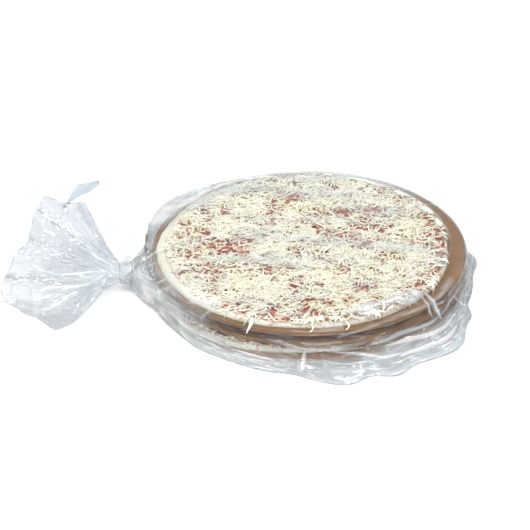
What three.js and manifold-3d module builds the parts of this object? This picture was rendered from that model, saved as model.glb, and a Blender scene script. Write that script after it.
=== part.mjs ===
// A tied clear bag that holds three raw cheese pizzas, each on its round board.
// The bag is one solid of the outer form that its film takes: the flat top pizza, the rim of the
// boards, a skirt that spreads on the table, the gathered neck, and the loose open end beyond the
// tie. A tape goes round the neck.
// Millimetres, +Z up. The origin is under the middle of the boards, on the table. The neck points
// to -X.
import * as THREE from "three";
import { mergeVertices } from "three/addons/utils/BufferGeometryUtils.js";
import Module from "manifold-3d";

const { clamp, degToRad, lerp, radToDeg, smoothstep } = THREE.MathUtils;

// What is in the bag
const BOARD_DIAMETER = 305;
const BOARD_THICKNESS = 3.5;
const PIZZA_DIAMETER = 283;
const CRUST_THICKNESS = 6.5;
const CHEESE_DEPTH = 4;
const LAYERS = 3;
const TOP_PIZZA_SHIFT = new THREE.Vector2(-5, -5);

// The film round the stack
const FILM_SLACK = 0.8;
const HEM_HEIGHT = 1.2;
const RIM_FOLD_DEPTH = 0.7;
const SKIRT_FOLD_DEPTH = 3.2;
const LUMP_HEIGHT = 0.7;

// How far the film spreads past the boards on the table, by the angle round the stack: narrow flaps
// lie at the right and at the front, and the bag's closed corner at the front right
const SKIRT_REACH = [
  [0, 7],
  [12, 15],
  [22, 8],
  [120, 8],
  [160, 11],
  [215, 9],
  [235, 16],
  [262, 24],
  [281, 46],
  [288, 37],
  [295, 45],
  [303, 36],
  [316, 41],
  [333, 21],
  [344, 8],
  [360, 7],
];

// How far the film stands off the rim of the top board, where the neck pulls on it
const RIM_BULGE = [
  [0, 0],
  [110, 0],
  [148, 14],
  [180, 5],
  [205, 6],
  [235, 0],
  [360, 0],
];

// The neck and its tape
const NECK = new THREE.Vector3(-178, -17, 17);
const NECK_RADIUS = 10;
const TAPE_WIDTH = 9;
const TAPE_THICKNESS = 0.6;
const TAPE_GAP = 0.3;
const TAPE_FLAG_HEIGHT = 9;
const GATHER_LENGTH = 62;
const GATHER_SPREAD = 100;
const GATHER_PLEATS = 13;

// The loose end: how far it reaches from the tie, by the angle in its own sloping plane
const TAIL_REACH = [
  [-60, 55],
  [-54, 104],
  [-36, 102],
  [-13, 118],
  [2, 110],
  [20, 96],
  [36, 104],
  [46, 109],
  [53, 90],
  [62, 70],
];
const TAIL_SLOPE = degToRad(28);
const TAIL_CUP = 24;
const TAIL_MIDDLE = 0.45;
const TAIL_THICKNESS = 8;
const TAIL_PLEAT_DEPTH = 2.6;
const TONGUE_WIDTH = 15;
const TONGUE_THICKNESS = 2.4;

// Worked out from the sizes above
const BOARD_RADIUS = BOARD_DIAMETER / 2;
const PIZZA_RADIUS = PIZZA_DIAMETER / 2;
const STACK_TOP = LAYERS * (BOARD_THICKNESS + CRUST_THICKNESS + CHEESE_DEPTH);
const BOARD_TOP = STACK_TOP - CRUST_THICKNESS - CHEESE_DEPTH;
const TIE_END = NECK.x - TAPE_WIDTH / 2 - 1;
const GATHER_START = NECK.x + TAPE_WIDTH / 2 + 0.5;

const wasm = await Module();
wasm.setup();

function solidOf(geometry) {
  const bare = geometry.clone();
  bare.deleteAttribute("normal");
  bare.deleteAttribute("uv");
  const merged = mergeVertices(bare, 1e-3);
  return new wasm.Manifold(
    new wasm.Mesh({
      numProp: 3,
      vertProperties: merged.attributes.position.array,
      triVerts: new Uint32Array(merged.index.array),
    }),
  );
}

function geometryOf(solid) {
  const mesh = solid.getMesh();
  const geometry = new THREE.BufferGeometry();
  geometry.setAttribute("position", new THREE.BufferAttribute(mesh.vertProperties, 3));
  geometry.setIndex(new THREE.BufferAttribute(mesh.triVerts, 1));
  geometry.computeVertexNormals();
  return geometry;
}

// Lets place(vertex) move every vertex of a geometry.
function reshape(geometry, place) {
  const position = geometry.attributes.position;
  const vertex = new THREE.Vector3();
  for (let i = 0; i < position.count; i++) {
    place(vertex.fromBufferAttribute(position, i));
    position.setXYZ(i, vertex.x, vertex.y, vertex.z);
  }
  return geometry;
}

// Eases from one [place, value] pair to the next.
function along(pairs, place) {
  const next = pairs.findIndex(([p]) => p > place);
  const to = next < 0 ? pairs.length - 1 : Math.max(next, 1);
  const [p0, v0] = pairs[to - 1];
  const [p1, v1] = pairs[to];
  return lerp(v0, v1, smoothstep(place, p0, p1));
}

// Folds of the film, from -1 to 1, by the angle round the stack in degrees.
function folds(degrees) {
  const a = degToRad(degrees);
  return 0.5 * Math.sin(19 * a + 0.7) + 0.3 * Math.sin(31 * a + 2.1) + 0.2 * Math.sin(47 * a + 4);
}

// Low lumps of the cheese that lift the film.
function cheeseLumps(x, y) {
  const near = Math.sin(x / 9 + 2 * Math.sin(y / 23)) * Math.sin(y / 8 + 1.5 * Math.sin(x / 19));
  const broad = Math.sin(x / 37 + 1) * Math.sin(y / 31 + 2);
  return LUMP_HEIGHT * (near + broad);
}

// Distance from the axis to the edge of the top pizza, which isn't centred on its board.
function pizzaEdge(degrees) {
  const ray = new THREE.Vector2(1, 0).rotateAround(new THREE.Vector2(), degToRad(degrees));
  const shift = TOP_PIZZA_SHIFT.dot(ray);
  return shift + Math.sqrt(PIZZA_RADIUS ** 2 - TOP_PIZZA_SHIFT.lengthSq() + shift ** 2);
}

// A ring of the skirt: spread is 0 at the rim of the top board and 1 at the hem.
function skirtRing(degrees, height, spread) {
  const bulge = along(RIM_BULGE, degrees) * (1 - spread);
  const reach = along(SKIRT_REACH, degrees) * spread;
  const fold = lerp(RIM_FOLD_DEPTH, SKIRT_FOLD_DEPTH, 4 * spread * (1 - spread)) * folds(degrees);
  return [BOARD_RADIUS + FILM_SLACK + bulge + reach + fold, height];
}

// The stack under its film, as rings from the middle of the top to the hem. Each ring gives its
// radius and height by the angle, and a lathe of plain steps lends them its faces.
function stackForm() {
  const ROUND_STEPS = 120;
  const CHEESE_RINGS = 8;
  const rings = [];
  for (let i = 1; i <= CHEESE_RINGS; i++) {
    rings.push((a) => [(i / (CHEESE_RINGS + 0.7)) * pizzaEdge(a), STACK_TOP]);
  }
  rings.push(
    (a) => [pizzaEdge(a) - 3, STACK_TOP - 0.8],
    (a) => [pizzaEdge(a) + FILM_SLACK, BOARD_TOP + CRUST_THICKNESS],
    (a) => [lerp(pizzaEdge(a), BOARD_RADIUS, 0.45), BOARD_TOP + 0.45 * CRUST_THICKNESS],
    (a) => [BOARD_RADIUS - 1 + 0.6 * along(RIM_BULGE, a), BOARD_TOP + FILM_SLACK],
    (a) => skirtRing(a, BOARD_TOP - 0.5, 0),
    (a) => skirtRing(a, 0.75 * BOARD_TOP, 0.1),
    (a) => skirtRing(a, 0.5 * BOARD_TOP, 0.25),
    (a) => skirtRing(a, 0.25 * BOARD_TOP, 0.48),
    (a) => skirtRing(a, 0.1 * BOARD_TOP, 0.75),
    (a) => skirtRing(a, HEM_HEIGHT, 1),
    (a) => [skirtRing(a, 0, 1)[0] - 1, 0],
  );
  const steps = [new THREE.Vector2(0, 0)];
  for (let ring = rings.length; ring >= 1; ring--) steps.push(new THREE.Vector2(1, ring));
  steps.push(new THREE.Vector2(0, rings.length + 1));
  const lathe = new THREE.LatheGeometry(steps, ROUND_STEPS).rotateX(Math.PI / 2);
  return reshape(lathe, (v) => {
    if (Math.hypot(v.x, v.y) < 0.5) {
      v.set(0, 0, v.z < 0.5 ? 0 : STACK_TOP);
      return;
    }
    const ring = Math.round(v.z);
    const angle = Math.atan2(v.y, v.x);
    const [radius, height] = rings[ring - 1]((radToDeg(angle) + 360) % 360);
    v.set(radius * Math.cos(angle), radius * Math.sin(angle), height);
    if (ring <= CHEESE_RINGS) v.z += cheeseLumps(v.x, v.y);
  });
}

function neckForm() {
  const length = GATHER_START + 2 - TIE_END;
  return new THREE.CylinderGeometry(NECK_RADIUS, NECK_RADIUS, length, 78)
    .rotateZ(Math.PI / 2)
    .translate(TIE_END + length / 2, NECK.y, NECK.z);
}

// The film that opens in pleats from the neck to the stack. Its section is round at the neck and
// has a flat underside further on.
function gatherForm() {
  const tube = new THREE.CylinderGeometry(1, 1, 1, 78, 15).rotateZ(Math.PI / 2);
  const end = NECK.x + GATHER_LENGTH;
  return reshape(tube, (v) => {
    const x = lerp(GATHER_START, end, v.x + 0.5);
    const open = (v.x + 0.5) ** 0.9;
    const toFloor = clamp(open * 5, 0, 1);
    const toRim = clamp(open * 2.4, 0, 1);
    const low = lerp(NECK.z - NECK_RADIUS, 0, toFloor);
    const high = lerp(NECK.z + NECK_RADIUS, BOARD_TOP + 1, toRim);
    const edge = Math.hypot(v.y, v.z);
    const around = Math.atan2(v.z, v.y);
    const fullness = lerp(1, 0.75, toRim);
    const across = edge * Math.sign(v.y) * Math.abs(Math.cos(around)) ** fullness;
    const up = edge * Math.sign(v.z) * Math.abs(Math.sin(around)) ** fullness;
    const pleat = 1 + 0.08 * toFloor * (1 - open) * Math.sin(GATHER_PLEATS * around);
    const half = (NECK_RADIUS + GATHER_SPREAD * open) * pleat;
    const middle = lerp(NECK.y, 0, smoothstep(x, GATHER_START, GATHER_START + 45));
    v.set(x, middle + across * half, Math.max(0, (low + high) / 2 + (up * (high - low)) / 2));
  });
}

// A point of the loose end. out runs from the tie to the mouth, across runs over its width, both 0
// to 1, and side is 1 on its upper film and -1 on its lower one.
function tailPoint(out, across, side) {
  const lowest = TAIL_REACH[0][0];
  const highest = TAIL_REACH[TAIL_REACH.length - 1][0];
  const degrees = lerp(lowest, highest, across);
  const reach = out * along(TAIL_REACH, degrees);
  const opened = smoothstep(out, 0, 0.45);
  const sideways = 2 * across - 1;
  const inTie = sideways * (NECK_RADIUS - 1) * (1 - opened);
  const b = reach * Math.sin(degToRad(degrees)) + inTie;
  const halfTie = 0.9 * NECK_RADIUS * Math.sqrt(1 - sideways ** 2) + 0.6;
  const half = lerp(halfTie, TAIL_THICKNESS / 2, opened);
  const pleats = Math.sin(34 * across) + 0.6 * Math.sin(57 * across + 1);
  const cup = TAIL_CUP * out * ((across - TAIL_MIDDLE) / (1 - TAIL_MIDDLE)) ** 2;
  const lift = cup + TAIL_PLEAT_DEPTH * opened * pleats + side * half;
  return new THREE.Vector3(
    TIE_END - reach * Math.cos(degToRad(degrees)),
    NECK.y + b * Math.cos(TAIL_SLOPE) - lift * Math.sin(TAIL_SLOPE),
    NECK.z + b * Math.sin(TAIL_SLOPE) + lift * Math.cos(TAIL_SLOPE),
  );
}

function tailForm() {
  const block = new THREE.BoxGeometry(1, 1, 1, 11, 56, 1);
  return reshape(block, (v) => {
    const side = Math.sign(v.z);
    v.copy(tailPoint(0.5 - v.x, v.y + 0.5, side));
    v.z = Math.max(v.z, side > 0 ? HEM_HEIGHT : 0);
  });
}

// The long corner of the mouth, which stands up and curls back as a tongue.
function tongueForm() {
  const route = new THREE.CatmullRomCurve3([
    new THREE.Vector3(-235, 35, 57),
    new THREE.Vector3(-231, 41, 68),
    new THREE.Vector3(-221, 47, 75),
    new THREE.Vector3(-204, 53, 79),
  ]);
  const strip = new THREE.BoxGeometry(1, 1, 1, 12, 4, 1);
  return reshape(strip, (v) => {
    const out = v.x + 0.5;
    const width = TONGUE_WIDTH * Math.sin(Math.PI * lerp(0.2, 0.97, out)) ** 0.8;
    const centre = route.getPoint(out);
    const curl = 1.5 * Math.cos(2 * Math.PI * v.y);
    v.set(
      centre.x - 0.75 * v.y * width,
      centre.y - 0.1 * v.y * width,
      centre.z + 0.65 * v.y * width + TONGUE_THICKNESS * v.z + curl,
    );
  });
}

function bag() {
  const whole = [neckForm(), gatherForm(), tailForm(), tongueForm()].reduce(
    (joined, form) => joined.add(solidOf(form)),
    solidOf(stackForm()),
  );
  const film = new THREE.MeshStandardMaterial({ color: 0xdfe4e6, roughness: 0.25, metalness: 0 });
  const mesh = new THREE.Mesh(geometryOf(whole), film);
  mesh.name = "bag";
  return mesh;
}

// The tape goes once round the neck, and its two ends are stuck together in a flag that stands up.
function neckTape() {
  const inner = NECK_RADIUS + TAPE_GAP;
  const outer = inner + TAPE_THICKNESS;
  const parting = Math.acos(TAPE_THICKNESS / outer);
  const outline = new THREE.Shape()
    .moveTo(TAPE_THICKNESS, outer + TAPE_FLAG_HEIGHT)
    .lineTo(-TAPE_THICKNESS, outer + TAPE_FLAG_HEIGHT)
    .lineTo(-TAPE_THICKNESS, outer * Math.sin(parting))
    .absarc(0, 0, outer, Math.PI - parting, 2 * Math.PI + parting, false);
  outline.holes.push(new THREE.Path().absarc(0, 0, inner, 0, 2 * Math.PI, true));
  const band = new THREE.ExtrudeGeometry(outline, {
    depth: TAPE_WIDTH,
    bevelEnabled: false,
    curveSegments: 36,
  });
  band.rotateX(Math.PI / 2).rotateZ(Math.PI / 2);
  const tape = new THREE.MeshStandardMaterial({ color: 0xd9d8d0, roughness: 0.35, metalness: 0 });
  const mesh = new THREE.Mesh(band, tape);
  mesh.name = "neck_tape";
  mesh.position.set(NECK.x - TAPE_WIDTH / 2, NECK.y, NECK.z);
  return mesh;
}

const pizzaBag = new THREE.Group();
pizzaBag.add(bag(), neckTape());

export default pizzaBag;
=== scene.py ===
"""A clear bag of raw cheese pizzas on round kraft boards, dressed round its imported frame.

The frame's bag solid gives place to the film and what is in it. Everything is in metres, in the frame's
own axes: +Z up, the neck of the bag towards -X, the viewer at -Y.
"""

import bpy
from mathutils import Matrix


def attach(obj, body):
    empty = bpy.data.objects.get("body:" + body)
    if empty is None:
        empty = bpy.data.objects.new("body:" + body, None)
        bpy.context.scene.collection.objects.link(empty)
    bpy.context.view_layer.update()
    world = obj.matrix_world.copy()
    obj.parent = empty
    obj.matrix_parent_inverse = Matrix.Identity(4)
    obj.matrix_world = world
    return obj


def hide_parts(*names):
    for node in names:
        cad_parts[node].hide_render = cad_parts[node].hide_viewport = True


bl_info = {
    "name": "Bagged cheese pizzas",
    "version": (1, 0, 0),
    "blender": (4, 5, 0),
    "location": "3D View > Sidebar > Pizza bag",
    "description": "Makes a taped clear bag with raw cheese pizzas on kraft boards",
    "category": "Object",
}

import math

import bmesh
import bpy
import numpy as np
from bpy.props import FloatProperty, FloatVectorProperty, IntProperty, PointerProperty
from mathutils import Vector

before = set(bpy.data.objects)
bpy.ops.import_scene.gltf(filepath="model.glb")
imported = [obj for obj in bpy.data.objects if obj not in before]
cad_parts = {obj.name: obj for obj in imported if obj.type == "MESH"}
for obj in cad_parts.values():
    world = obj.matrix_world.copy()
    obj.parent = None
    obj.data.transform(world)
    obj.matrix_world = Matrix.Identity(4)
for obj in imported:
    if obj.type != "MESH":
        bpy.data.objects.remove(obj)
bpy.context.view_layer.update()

MM = 0.001
LAYERS = ("bottom", "middle", "top")
BODY = "root"

# How far each board and pizza lies from the middle of the stack, in mm
BOARD_SHIFTS = {"bottom": (-2, 0), "middle": (1, 1.5), "top": (0, 0)}
PIZZA_SHIFTS = {"bottom": (-12, -5), "middle": (4, 9), "top": (-5, -5)}

# How much higher each layer sits than an even stack, and its cheese is deeper for it, in mm
LAYER_LIFTS = {"bottom": 0, "middle": 1.5, "top": 0}
CHEESE_ROOM = {"bottom": 0.8, "middle": -2.4, "top": 0.1}

# The stack inside the film, in mm: edge and top of its boards, edge of its pizzas, top of its cheese
BOARD_EDGE = 152.5
BOARD_TOP = 31.5
PIZZA_EDGE = 141.5
STACK_TOP = 42.0

# The film round the stack, in mm by the bearing in degrees: how far its skirt reaches past the boards
# and how far it bulges past their rims. Its wall falls by the share of the way out to the hem.
FILM_SLACK = 0.8
SKIRT_REACH = (
    (0, 7), (12, 15), (22, 8), (120, 8), (160, 11), (215, 9), (235, 16), (262, 24), (281, 46),
    (288, 37), (295, 45), (303, 36), (316, 41), (333, 21), (344, 8), (360, 7),
)
RIM_BULGE = ((0, 0), (110, 0), (148, 14), (180, 5), (205, 6), (235, 0), (360, 0))
SKIRT_FALL = ((0, 31), (0.1, 24), (0.25, 16.5), (0.48, 8.4), (0.75, 3.4), (1, 1.4), (1.6, 1.2))

# The tie: its middle, its radius and half its length, in mm
NECK = (-178.0, -17.0, 17.0)
NECK_RADIUS = 10.0
NECK_HALF = 5.5

# The film that opens from the tie to the stack: its length and how much wider it grows to each side
GATHER_LENGTH = 62.0
GATHER_SPREAD = 100.0

# The loose end: how far its mouth lies from the tie by the angle in its own sloping plane, and its bend
TAIL_REACH = (
    (-60, 55), (-54, 104), (-36, 102), (-13, 118), (2, 110), (20, 96), (36, 104), (47, 110),
    (51, 90), (56, 82), (62, 70),
)
TAIL_SLOPE = math.radians(28)
TAIL_CUP = 24.0
TAIL_MIDDLE = 0.45

# The tongue at the top of the mouth: places along its middle, and its width
TONGUE_ROUTE = ((-240, 34, 59.5), (-230.5, 42, 69), (-223, 47, 75), (-214, 50, 77.5), (-204, 52, 79.3))
TONGUE_WIDTH = 14.0

# The tape round the neck: its width, the radius it is wound at, and how far its ends stand out
TAPE_WIDTH = 9.0
TAPE_RADIUS = 10.6
TAPE_FLAG = 9.0

# Where the cheese of the top pizza is thin and sauce shows: place on its board and radius, in mm
THIN_SPOTS = (
    (-85, 66, 7), (-105, 56, 6), (-110, 26, 11), (-122, 17, 7), (-88, -2, 11), (-69, 1, 13),
    (-113, -19, 11), (-84, -14, 12), (-59, -18, 11), (-107, -50, 11), (-94, -48, 6), (-123, -57, 7),
    (-79, -50, 8), (-61, -53, 10), (-10, -16, 14), (14, -21, 7), (-31, -57, 11), (-8, -78, 13),
    (-11, -110, 11), (3, -127, 7), (29, -46, 7), (31, 13, 8), (63, 15, 10), (75, 49, 13), (19, 111, 7),
    (16, 56, 8), (33, 56, 11), (110, 15, 8), (125, -6, 12), (130, -44, 8), (96, -84, 10),
    (-99, -101, 8), (-59, -129, 12), (-25, -142, 12), (11, -143, 11), (36, -139, 9), (33, -110, 7),
    (-61, 41, 6), (-37, 37, 7), (-49, 102, 7), (-16, 87, 10), (94, 83, 8), (116, 45, 8), (50, -80, 8),
    (68, -110, 8), (-45, -38, 8), (-90, -74, 8), (128, 27, 7), (131, 2, 7), (129, -26, 7), (122, -55, 8),
    (106, -86, 7), (88, -104, 6), (-66, -119, 7), (-42, -135, 7), (50, -131, 6),
    (64, 30, 6), (92, 2, 7), (76, -22, 7), (48, -8, 6), (44, 78, 7), (72, 92, 6), (-28, 62, 6), (-6, 30, 6),
)


def linear(red, green, blue):
    """A colour given in 0 to 255 display values, as Blender's sockets want it."""
    shares = (red / 255, green / 255, blue / 255)
    return tuple(((c + 0.055) / 1.055) ** 2.4 if c > 0.04 else c / 12.92 for c in shares)


class PizzaSizes(bpy.types.PropertyGroup):
    """Sizes of the boards, the pizzas and their cheese."""

    board_diameter: FloatProperty(
        name="Board diameter", description="Across a kraft board", default=305 * MM, unit="LENGTH")
    board_thickness: FloatProperty(
        name="Board thickness", description="Thickness of a kraft board", default=3.5 * MM, unit="LENGTH")
    flute_pitch: FloatProperty(
        name="Flute pitch", description="From one wave of the board's core to the next", default=5.2 * MM,
        unit="LENGTH")
    pizza_diameter: FloatProperty(
        name="Pizza diameter", description="Across a pizza", default=283 * MM, unit="LENGTH")
    crust_thickness: FloatProperty(
        name="Crust thickness", description="Thickness of the raw dough", default=6.5 * MM, unit="LENGTH")
    cheese_depth: FloatProperty(
        name="Cheese depth", description="From the dough to the top of the cheese", default=4 * MM,
        unit="LENGTH")
    shred_length: FloatProperty(
        name="Shred length", description="Longest shred of cheese", default=24 * MM, unit="LENGTH")
    shred_width: FloatProperty(
        name="Shred width", description="Width of a shred of cheese", default=1.6 * MM, unit="LENGTH")
    top_shreds: IntProperty(
        name="Shreds on top", description="Long shreds on the top pizza", default=4500, min=1)
    top_bits: IntProperty(
        name="Bits on top", description="Short bits of cheese on the top pizza", default=6600, min=1)


class PizzaColours(bpy.types.PropertyGroup):
    """Colours of the boards, the food and the film."""

    kraft: FloatVectorProperty(
        name="Kraft", description="Colour of the boards", subtype="COLOR", default=linear(147, 110, 71))
    dough: FloatVectorProperty(
        name="Dough", description="Colour of the raw dough", subtype="COLOR", default=linear(226, 224, 209))
    sauce: FloatVectorProperty(
        name="Sauce", description="Colour of the tomato sauce", subtype="COLOR", default=linear(164, 66, 30))
    cheese: FloatVectorProperty(
        name="Cheese", description="Colour of the shreds", subtype="COLOR", default=linear(252, 245, 226))
    film: FloatVectorProperty(
        name="Film", description="Milky tint of the film", subtype="COLOR", default=linear(218, 227, 233))


# ---------------------------------------------------------------- numbers

RANDOM_TABLE = np.random.default_rng(11).random(8192)


def table_value(i, j, k):
    """A fixed random value from 0 to 1 for a cell."""
    return RANDOM_TABLE[(i * 73856093 ^ j * 19349663 ^ k * 83492791) & 8191]


def soft_noise(x, y, z=0.0):
    """Smooth noise from 0 to 1, with features about 1 apart. Takes arrays."""
    x, y, z = np.broadcast_arrays(*(np.asarray(v, dtype=float) for v in (x, y, z)))
    cells = [np.floor(v).astype(np.int64) for v in (x, y, z)]
    shares = [v - c for v, c in zip((x, y, z), cells)]
    eased = [s * s * s * (s * (6 * s - 15) + 10) for s in shares]
    total = np.zeros_like(x)
    for corner in range(8):
        steps = [(corner >> axis) & 1 for axis in range(3)]
        weight = np.ones_like(x)
        for step, share in zip(steps, eased):
            weight = weight * (share if step else 1 - share)
        total += weight * table_value(*(c + s for c, s in zip(cells, steps)))
    return total


def layered_noise(x, y, z=0.0, layers=3):
    """Soft noise with finer noise laid over it, from 0 to 1."""
    total = sum(soft_noise(x * 2**k + 7.3 * k, y * 2**k, z * 2**k) / 2**k for k in range(layers))
    return total / (2 - 2 ** (1 - layers))


def ease(value, low, high):
    """Goes smoothly from 0 at low to 1 at high."""
    share = np.clip((value - low) / (high - low), 0, 1)
    return share * share * (3 - 2 * share)


def unit(vectors):
    """The same directions with a length of 1."""
    return vectors / np.maximum(np.linalg.norm(vectors, axis=-1, keepdims=True), 1e-12)


def eased_along(pairs, places):
    """Eases from one (place, value) pair to the next, for an array of places."""
    known, values = np.array(pairs, dtype=float).T
    to = np.clip(np.searchsorted(known, places, side="right"), 1, len(known) - 1)
    share = ease(places, known[to - 1], known[to])
    return values[to - 1] + (values[to] - values[to - 1]) * share


def ridges(x, y, z=0.0):
    """Soft noise with sharp crests: 1 on a crest and 0 between."""
    return (1 - np.abs(2 * soft_noise(x, y, z) - 1) * 1.6).clip(0, 1) ** 2


def crumples(x, y, seed=0):
    """Flat facets that meet in straight creases: 0 on a crease and up to about 1 between."""
    x, y = np.broadcast_arrays(np.asarray(x, dtype=float), np.asarray(y, dtype=float))
    cell_x, cell_y = np.floor(x).astype(np.int64), np.floor(y).astype(np.int64)
    nearest = np.full(x.shape, 9.0)
    second = np.full(x.shape, 9.0)
    for step_x in (-1, 0, 1):
        for step_y in (-1, 0, 1):
            i, j = cell_x + step_x, cell_y + step_y
            away = np.hypot(
                x - i - table_value(i, j, seed), y - j - table_value(i + 31, j + 17, seed))
            second = np.minimum(second, np.maximum(nearest, away))
            nearest = np.minimum(nearest, away)
    return second - nearest


def surface_normals(places):
    """Normals of a grid of places whose columns close in a ring."""
    around = np.roll(places, -1, axis=1) - np.roll(places, 1, axis=1)
    along = np.gradient(places, axis=0)
    return unit(np.cross(around, along))


# ---------------------------------------------------------------- meshes


def tube(places, flat_ends=(), **layers):
    """A sheet rolled into a tube, seamed and closed at both ends. Its points lie at places (rows,
    columns, 3), and layers are values kept on them. A flat end is pressed shut: rows 0 and -1."""
    rows, columns = places.shape[:2]
    bm = bmesh.new()
    for name in layers:
        bm.verts.layers.float.new(name)
    bmesh.ops.create_grid(bm, x_segments=columns, y_segments=rows - 1, size=1)
    points = bm.verts[:]
    wide = columns + 1
    seam = {points[r * wide + columns]: points[r * wide] for r in range(rows)}
    bmesh.ops.weld_verts(bm, targetmap=seam)
    points = [points[r * wide + c] for r in range(rows) for c in range(columns)]
    pressed = {}
    for end in flat_ends:
        ring = points[:columns] if end == 0 else points[-columns:]
        pressed.update(zip(ring[columns // 2 :], ring[columns // 2 - 1 :: -1]))
    bmesh.ops.weld_verts(bm, targetmap=pressed)
    caps = bmesh.ops.holes_fill(bm, edges=[e for e in bm.edges if e.is_boundary])["faces"]
    centres = bmesh.ops.poke(bm, faces=caps)["verts"]
    for point, place in zip(points, places.reshape(-1, 3).tolist()):
        if point.is_valid:
            point.co = place
    for name, values in layers.items():
        layer = bm.verts.layers.float[name]
        for point, value in zip(points, np.broadcast_to(values, (rows, columns)).ravel().tolist()):
            if point.is_valid:
                point[layer] = value
    for centre in centres:
        ring = [edge.other_vert(centre) for edge in centre.link_edges]
        centre.co = sum((vert.co for vert in ring), Vector()) / len(ring)
        for layer in bm.verts.layers.float.values():
            centre[layer] = ring[0][layer]
    return bm


def finished(name, bm, material, outward=True):
    """Makes the piece of a bmesh, with its faces outwards unless that is left alone."""
    if outward:
        bmesh.ops.recalc_face_normals(bm, faces=bm.faces)
        if bm.calc_volume(signed=True) < 0:
            bmesh.ops.reverse_faces(bm, faces=bm.faces)
    mesh = bpy.data.meshes.new(name)
    bm.to_mesh(mesh)
    bm.free()
    mesh.shade_smooth()
    mesh.materials.append(material)
    piece = bpy.data.objects.new(name, mesh)
    bpy.context.scene.collection.objects.link(piece)
    return piece


def add_piece(piece, replaced="bag"):
    """Puts a piece in the frame, in place of a node of the CAD model."""
    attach(piece, BODY)
    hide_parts(replaced)
    return piece


# ---------------------------------------------------------------- materials

# Crumbs of cheese in the sauce, darker and pinker than the shreds: painted shade in the gaps under them
CRUMB_AND_SHADE_COLOUR = linear(220, 172, 142)
# Darker red of the lowest shreds: sauce staining and painted shade
STAIN_AND_SHADE_COLOUR = linear(196, 112, 84)
CHEESE_YELLOW = (0.95, 0.9, 0.66)
CHEESE_MOTTLE = (0.9, 0.82, 0.62)
EDGE_TINT = (0.55, 0.6, 0.66)
# White that the milk turns to where the film is milkiest: a painted highlight
PAINTED_HIGHLIGHT_WHITE = (0.97, 0.98, 1.0)
TAPE_TONES = ((0.55, 0.58, 0.6), (0.8, 0.82, 0.83))

# Each film's share of shine, its tints where it is flat and folded, and the milkiness from which its milk is
# painted white as a highlight
FILM_KINDS = {
    "clear film": (0.74, (0.985, 0.988, 0.992), (0.82, 0.85, 0.88), 0.8),
    "loose film": (0.8, (0.93, 0.935, 0.94), (0.74, 0.755, 0.775), 0.3),
    "tongue film": (0.5, (0.94, 0.945, 0.95), (0.68, 0.71, 0.75), 0.8),
}


class Nodes:
    """A new material and short ways to add nodes to it."""

    def __init__(self, name):
        self.material = bpy.data.materials.new(name)
        self.material.use_nodes = True
        self.tree = self.material.node_tree
        self.shader = self.tree.nodes["Principled BSDF"]
        self.output = self.tree.nodes["Material Output"]
        self.coords = self.add("ShaderNodeTexCoord").outputs["Object"]

    def add(self, kind, **settings):
        node = self.tree.nodes.new(kind)
        for key, value in settings.items():
            setattr(node, key, value)
        return node

    def link(self, source, target):
        self.tree.links.new(source, target)

    def fill(self, socket, value):
        """Links a socket to another node's output, or sets it to a plain value."""
        if isinstance(value, bpy.types.NodeSocket):
            self.link(value, socket)
        else:
            socket.default_value = value

    def colour(self, socket, value):
        self.fill(socket, value if isinstance(value, bpy.types.NodeSocket) else (*value[:3], 1))

    def noise(self, scale, detail=2.0, roughness=0.5, stretch=(1, 1, 1), vector=None):
        """Noise through the piece's own space, stretched along an axis where stretch is small."""
        mapping = self.add("ShaderNodeMapping")
        mapping.inputs["Scale"].default_value = stretch
        self.link(vector or self.coords, mapping.inputs["Vector"])
        node = self.add("ShaderNodeTexNoise")
        node.inputs["Scale"].default_value = scale
        node.inputs["Detail"].default_value = detail
        node.inputs["Roughness"].default_value = roughness
        self.link(mapping.outputs["Vector"], node.inputs["Vector"])
        return node.outputs["Fac"]

    def band(self, source, low, high, to_low=0.0, to_high=1.0):
        """Goes smoothly from to_low at low to to_high at high."""
        node = self.add("ShaderNodeMapRange", interpolation_type="SMOOTHSTEP")
        for name, value in zip(("From Min", "From Max", "To Min", "To Max"), (low, high, to_low, to_high)):
            node.inputs[name].default_value = value
        self.link(source, node.inputs["Value"])
        return node.outputs["Result"]

    def maths(self, operation, first, second=0.0):
        node = self.add("ShaderNodeMath", operation=operation)
        self.fill(node.inputs[0], first)
        self.fill(node.inputs[1], second)
        return node.outputs["Value"]

    def times(self, first, second):
        return self.maths("MULTIPLY", first, second)

    def plus(self, total, *others):
        for value in others:
            total = self.maths("ADD", total, value)
        return total

    def blend(self, amount, first, second):
        """Two colours blended: an amount of 0 gives the first and 1 the second."""
        node = self.add("ShaderNodeMix", data_type="RGBA")
        self.fill(node.inputs[0], amount)
        self.colour(node.inputs[6], first)
        self.colour(node.inputs[7], second)
        return node.outputs[2]

    def attribute(self, name):
        """A value that is kept on the points of the mesh."""
        return self.add("ShaderNodeAttribute", attribute_name=name).outputs["Fac"]

    def bump(self, height, distance, strength):
        node = self.add("ShaderNodeBump")
        node.inputs["Distance"].default_value = distance
        node.inputs["Strength"].default_value = strength
        self.link(height, node.inputs["Height"])
        return node.outputs["Normal"]

    def surface(self, colour, roughness, normal=None):
        """Sets the plain shader: its colour, roughness and bumps."""
        self.colour(self.shader.inputs["Base Color"], colour)
        self.shader.inputs["Roughness"].default_value = roughness
        if normal:
            self.link(normal, self.shader.inputs["Normal"])

    def coat(self, kind, colour):
        """A shader of another kind, with its colour."""
        node = self.add(kind)
        self.colour(node.inputs["Color"], colour)
        return node

    def mixed(self, share, first, second):
        """Two shaders mixed: a share of 0 gives the first and 1 the second."""
        node = self.add("ShaderNodeMixShader")
        self.fill(node.inputs[0], share)
        self.link(first.outputs[0], node.inputs[1])
        self.link(second.outputs[0], node.inputs[2])
        return node


def tinted(colour, factor):
    """A lighter or darker kind of a colour."""
    return tuple(min(1.0, c * factor) for c in colour[:3])


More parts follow.
